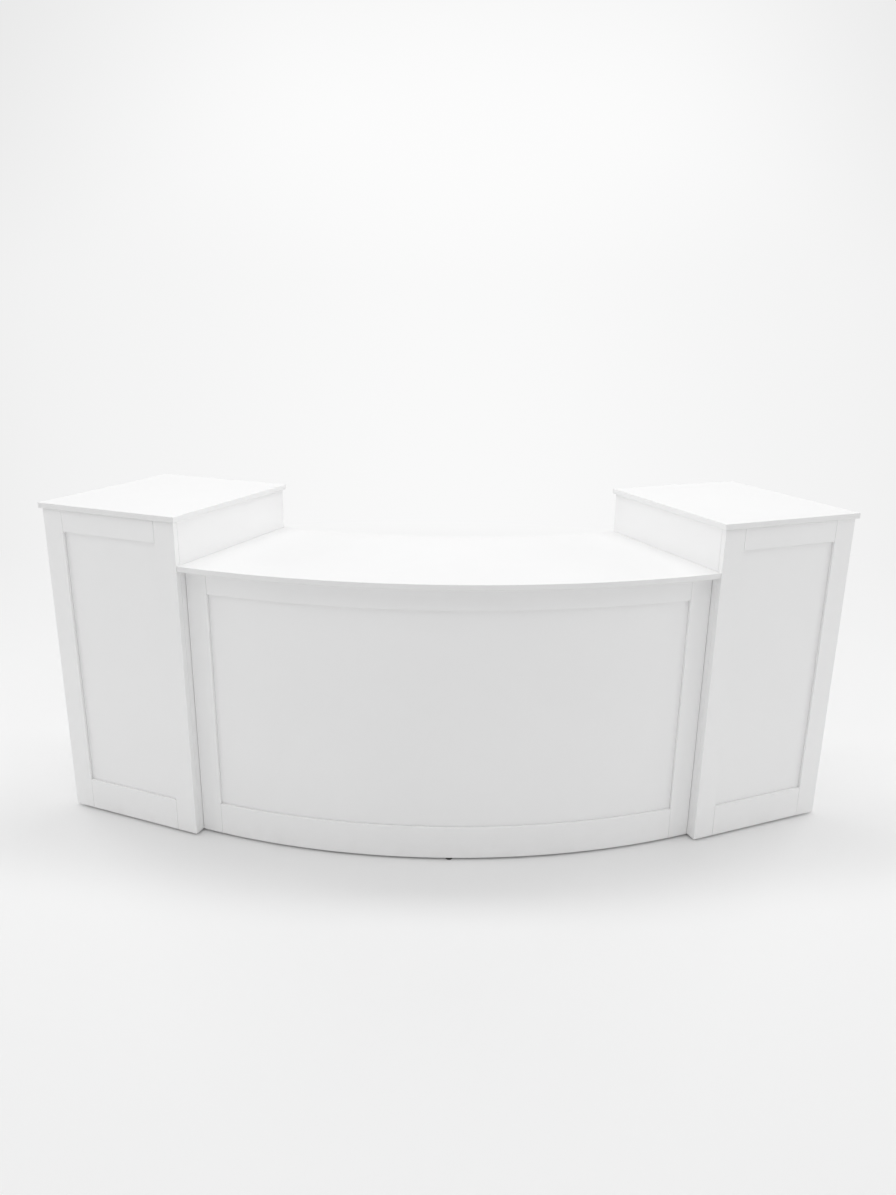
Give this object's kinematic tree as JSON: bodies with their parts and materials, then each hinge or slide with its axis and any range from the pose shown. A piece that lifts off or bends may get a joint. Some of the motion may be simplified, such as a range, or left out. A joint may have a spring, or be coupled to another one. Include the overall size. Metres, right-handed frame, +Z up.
{
  "type": "bar counter",
  "caption": "White painted bar counter: a bowed, framed and panelled counter between taller square end towers, open shelves behind, on screw-in levelling feet.",
  "frame": {"origin": "on the floor, in the middle of the footprint's bounding box", "axes": "+X to the right along the counter as the guest sees it, +Y from the bowed front towards the serving side, +Z up"},
  "size_m": [2.579, 0.9136, 1.067],
  "materials": {
    "paint": "satin white paint on fibreboard",
    "lining": "white satin lining on board",
    "foot": "dark moulded nylon",
    "connector": "bright zinc plate"
  },
  "bodies": {
    "counter": {"counter_top": "paint", "counter_left_stile": "paint", "counter_right_stile": "paint", "counter_top_rail": "paint", "counter_bottom_rail": "paint", "counter_front_panel": "paint", "counter_left_end": "lining", "counter_right_end": "lining", "counter_divider": "lining", "counter_left_deck": "lining", "counter_right_deck": "lining", "counter_left_shelf": "lining", "counter_right_shelf": "lining", "counter_left_back_rail": "lining", "counter_right_back_rail": "lining", "left_tower_top": "paint", "left_tower_inner_stile": "paint", "left_tower_outer_stile": "paint", "left_tower_top_rail": "paint", "left_tower_bottom_rail": "paint", "left_tower_front_panel": "paint", "left_tower_inner_side": "paint", "left_tower_outer_side": "paint", "left_tower_deck": "lining", "left_tower_shelf": "lining", "left_tower_back_rail": "lining", "right_tower_top": "paint", "right_tower_inner_stile": "paint", "right_tower_outer_stile": "paint", "right_tower_top_rail": "paint", "right_tower_bottom_rail": "paint", "right_tower_front_panel": "paint", "right_tower_inner_side": "paint", "right_tower_outer_side": "paint", "right_tower_deck": "lining", "right_tower_shelf": "lining", "right_tower_back_rail": "lining", "left_low_connector_sleeve": "connector", "left_low_connector_bolt": "connector", "left_high_connector_sleeve": "connector", "left_high_connector_bolt": "connector", "right_low_connector_sleeve": "connector", "right_low_connector_bolt": "connector", "right_high_connector_sleeve": "connector", "right_high_connector_bolt": "connector"},
    "counter_left_front_foot": {"counter_left_front_foot": "foot"},
    "counter_left_back_foot": {"counter_left_back_foot": "foot"},
    "counter_middle_front_foot": {"counter_middle_front_foot": "foot"},
    "counter_middle_back_foot": {"counter_middle_back_foot": "foot"},
    "counter_right_front_foot": {"counter_right_front_foot": "foot"},
    "counter_right_back_foot": {"counter_right_back_foot": "foot"},
    "left_tower_inner_front_foot": {"left_tower_inner_front_foot": "foot"},
    "left_tower_inner_back_foot": {"left_tower_inner_back_foot": "foot"},
    "left_tower_outer_front_foot": {"left_tower_outer_front_foot": "foot"},
    "left_tower_outer_back_foot": {"left_tower_outer_back_foot": "foot"},
    "right_tower_inner_front_foot": {"right_tower_inner_front_foot": "foot"},
    "right_tower_inner_back_foot": {"right_tower_inner_back_foot": "foot"},
    "right_tower_outer_front_foot": {"right_tower_outer_front_foot": "foot"},
    "right_tower_outer_back_foot": {"right_tower_outer_back_foot": "foot"}
  },
  "joints": [
    {"name": "counter_left_front_foot_screw", "type": "slide", "parent": "counter", "child": "counter_left_front_foot", "axis": [0, 0, -1], "range_m": [0, 0.01]},
    {"name": "counter_left_back_foot_screw", "type": "slide", "parent": "counter", "child": "counter_left_back_foot", "axis": [0, 0, -1], "range_m": [0, 0.01]},
    {"name": "counter_middle_front_foot_screw", "type": "slide", "parent": "counter", "child": "counter_middle_front_foot", "axis": [0, 0, -1], "range_m": [0, 0.01]},
    {"name": "counter_middle_back_foot_screw", "type": "slide", "parent": "counter", "child": "counter_middle_back_foot", "axis": [0, 0, -1], "range_m": [0, 0.01]},
    {"name": "counter_right_front_foot_screw", "type": "slide", "parent": "counter", "child": "counter_right_front_foot", "axis": [0, 0, -1], "range_m": [0, 0.01]},
    {"name": "counter_right_back_foot_screw", "type": "slide", "parent": "counter", "child": "counter_right_back_foot", "axis": [0, 0, -1], "range_m": [0, 0.01]},
    {"name": "left_tower_inner_front_foot_screw", "type": "slide", "parent": "counter", "child": "left_tower_inner_front_foot", "axis": [0, 0, -1], "range_m": [0, 0.01]},
    {"name": "left_tower_inner_back_foot_screw", "type": "slide", "parent": "counter", "child": "left_tower_inner_back_foot", "axis": [0, 0, -1], "range_m": [0, 0.01]},
    {"name": "left_tower_outer_front_foot_screw", "type": "slide", "parent": "counter", "child": "left_tower_outer_front_foot", "axis": [0, 0, -1], "range_m": [0, 0.01]},
    {"name": "left_tower_outer_back_foot_screw", "type": "slide", "parent": "counter", "child": "left_tower_outer_back_foot", "axis": [0, 0, -1], "range_m": [0, 0.01]},
    {"name": "right_tower_inner_front_foot_screw", "type": "slide", "parent": "counter", "child": "right_tower_inner_front_foot", "axis": [0, 0, -1], "range_m": [0, 0.01]},
    {"name": "right_tower_inner_back_foot_screw", "type": "slide", "parent": "counter", "child": "right_tower_inner_back_foot", "axis": [0, 0, -1], "range_m": [0, 0.01]},
    {"name": "right_tower_outer_front_foot_screw", "type": "slide", "parent": "counter", "child": "right_tower_outer_front_foot", "axis": [0, 0, -1], "range_m": [0, 0.01]},
    {"name": "right_tower_outer_back_foot_screw", "type": "slide", "parent": "counter", "child": "right_tower_outer_back_foot", "axis": [0, 0, -1], "range_m": [0, 0.01]}
  ]
}
